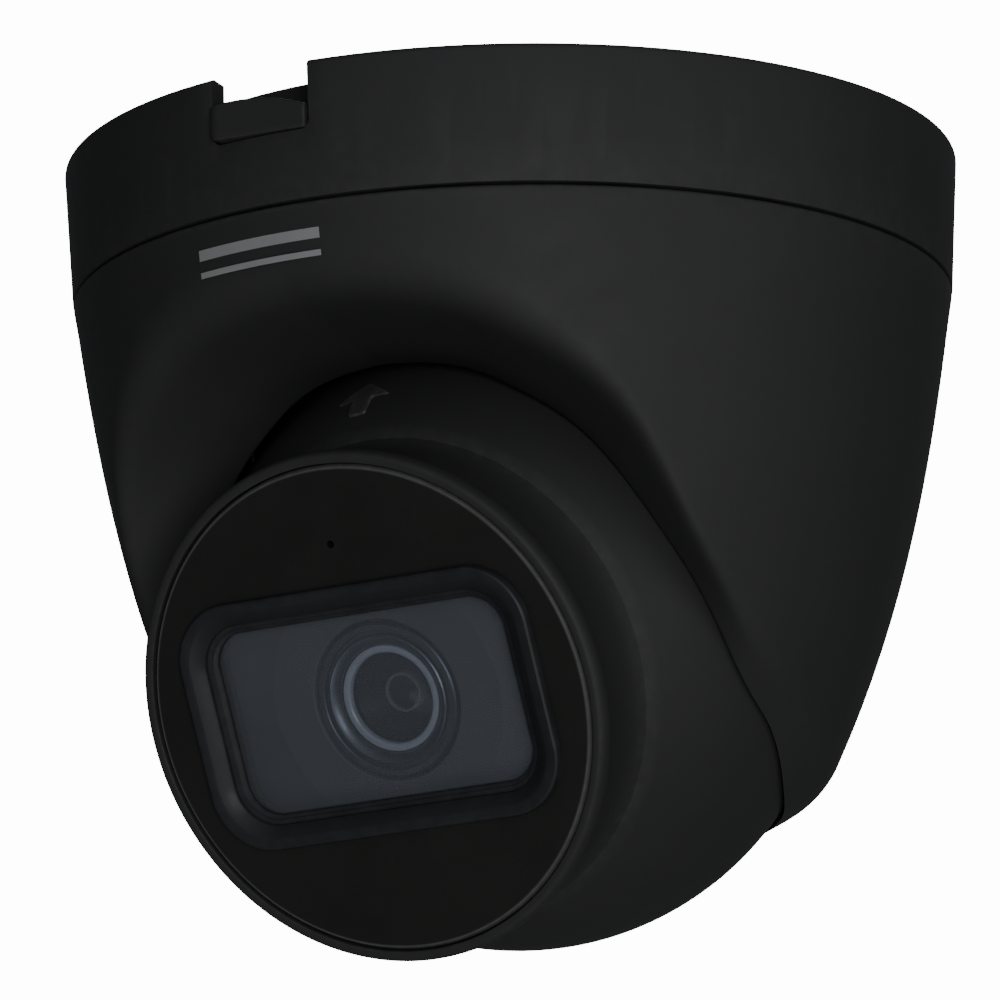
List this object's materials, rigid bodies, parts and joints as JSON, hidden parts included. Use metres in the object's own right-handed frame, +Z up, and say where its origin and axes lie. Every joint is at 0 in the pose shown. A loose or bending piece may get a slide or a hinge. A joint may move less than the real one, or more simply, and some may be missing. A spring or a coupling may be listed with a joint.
{
  "type": "eyeball security camera",
  "caption": "Ceiling eyeball security camera: a black ball with a lens behind a rounded window, in a tapered cover that turns on a round base.",
  "frame": {"origin": "centre of the ceiling face, on the plane of the base's top rim", "axes": "+Z up into the ceiling, -Y the side that the lens looks to, +X to the camera's left as it looks out"},
  "size_m": [0.0934, 0.0949, 0.0869],
  "materials": {
    "black_shell": "fine matt moulded texture",
    "inner_plastic": "plain moulded nylon",
    "soft_rubber": "matt rubber",
    "face_plastic": "polished dark infrared-passing acrylic",
    "bezel_plastic": "satin moulded frame",
    "window": "clear coated glass",
    "baffle_plastic": "matt ridged baffle",
    "lens_metal": "black anodised, semi matt",
    "lens_glass": "coated optical glass",
    "filter_glass": "infrared cut coating",
    "screw_steel": "zinc plated",
    "circuit_board": "solder mask on glass epoxy",
    "led_circuit_board": "dark solder mask",
    "chip_black": "moulded epoxy",
    "sensor_package": "ceramic package with cover glass",
    "spacer_brass": "turned brass",
    "pad_silicone": "grey silicone pad",
    "sink_aluminium": "extruded, plain",
    "socket_nylon": "natural nylon",
    "led_epoxy": "tinted epoxy dome",
    "microphone_can": "plain can",
    "light_sensor_epoxy": "clear epoxy"
  },
  "bodies": {
    "base": {"mounting_base": "black_shell", "notch_plug": "black_shell", "friction_washer": "screw_steel", "retaining_ring": "screw_steel"},
    "cover": {"cover_shell": "black_shell", "pan_carrier": "inner_plastic", "carrier_screws": "screw_steel", "ball_seat": "inner_plastic", "friction_ring": "soft_rubber", "seat_screws": "screw_steel"},
    "tilt": {"cable_gland": "soft_rubber"},
    "ball": {"ball_front_shell": "black_shell", "ball_rear_shell": "black_shell", "shell_seal": "soft_rubber", "shell_screws": "screw_steel", "face_plate": "face_plastic", "window_bezel": "bezel_plastic", "window_glass": "window", "window_gasket": "soft_rubber", "lens_baffle": "baffle_plastic", "lens_barrel": "lens_metal", "lens_front_element": "lens_glass", "lens_middle_element": "lens_glass", "lens_rear_element": "lens_glass", "lens_lock_ring": "lens_metal", "lens_holder": "inner_plastic", "ir_cut_filter": "filter_glass", "image_sensor": "sensor_package", "sensor_board": "circuit_board", "board_spacers": "spacer_brass", "board_screws": "screw_steel", "main_board": "circuit_board", "board_header": "inner_plastic", "processor_chip": "chip_black", "thermal_pad": "pad_silicone", "heat_sink": "sink_aluminium", "cable_socket": "socket_nylon", "ir_led_board": "led_circuit_board", "ir_leds": "led_epoxy", "microphone": "microphone_can", "microphone_boot": "soft_rubber", "light_sensor": "light_sensor_epoxy"}
  },
  "joints": [
    {"name": "pan_joint", "type": "hinge", "parent": "base", "child": "cover", "pos_m": [0, 0, -0.0162], "axis": [0, 0, 1], "range_deg": [-180, 180]},
    {"name": "tilt_joint", "type": "hinge", "parent": "cover", "child": "tilt", "pos_m": [0, 0, -0.05], "axis": [1, 0, 0], "range_deg": [-18, 53.75]},
    {"name": "roll_joint", "type": "hinge", "parent": "tilt", "child": "ball", "pos_m": [0, 0, -0.05], "axis": [0, -0.9118, -0.4107], "range_deg": [-180, 180]}
  ]
}
